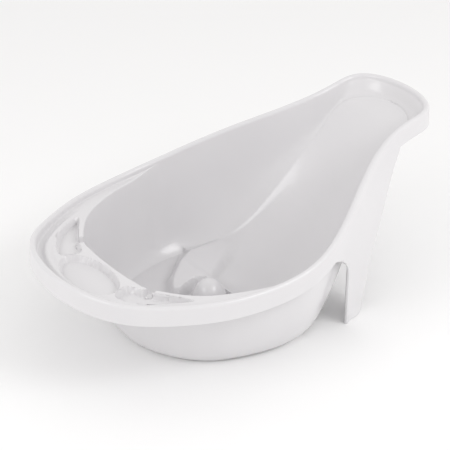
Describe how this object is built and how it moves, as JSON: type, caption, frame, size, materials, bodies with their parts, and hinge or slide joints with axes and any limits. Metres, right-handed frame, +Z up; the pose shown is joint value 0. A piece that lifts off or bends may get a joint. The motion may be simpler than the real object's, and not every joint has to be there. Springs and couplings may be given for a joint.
{
  "type": "baby bathtub",
  "caption": "Moulded baby bathtub with a recline slide and head tray, a crotch bump, a foot ledge with soap dishes, support legs under the head end and a drain plug.",
  "frame": {"origin": "on the ground, under the middle of the tub's length and width", "axes": "+X towards the head end, +Y to the left of someone who looks from the foot end towards the head end, +Z up"},
  "size_m": [0.9008, 0.5514, 0.3543],
  "materials": {
    "tub_shell": "pearl white gloss with a faint lilac grey shade",
    "plug_cap": "pearl white gloss",
    "plug_seal": "soft matte grey"
  },
  "bodies": {
    "tub": {"rim_left": "tub_shell", "rim_right": "tub_shell", "skirt_left": "tub_shell", "skirt_right": "tub_shell", "bath_wall_left": "tub_shell", "bath_wall_right": "tub_shell", "leg_left": "tub_shell", "leg_right": "tub_shell", "ledge_step_left": "tub_shell", "ledge_step_right": "tub_shell", "bath_floor": "tub_shell", "recline_slide": "tub_shell", "foot_ledge": "tub_shell", "seat_pan": "tub_shell", "seat_bump": "tub_shell"},
    "plug": {"plug_cap": "plug_cap", "plug_seal": "plug_seal"}
  },
  "joints": [
    {"name": "plug_lift", "type": "slide", "parent": "tub", "child": "plug", "axis": [0, 0, 1], "range_m": [0, 0.06]}
  ]
}
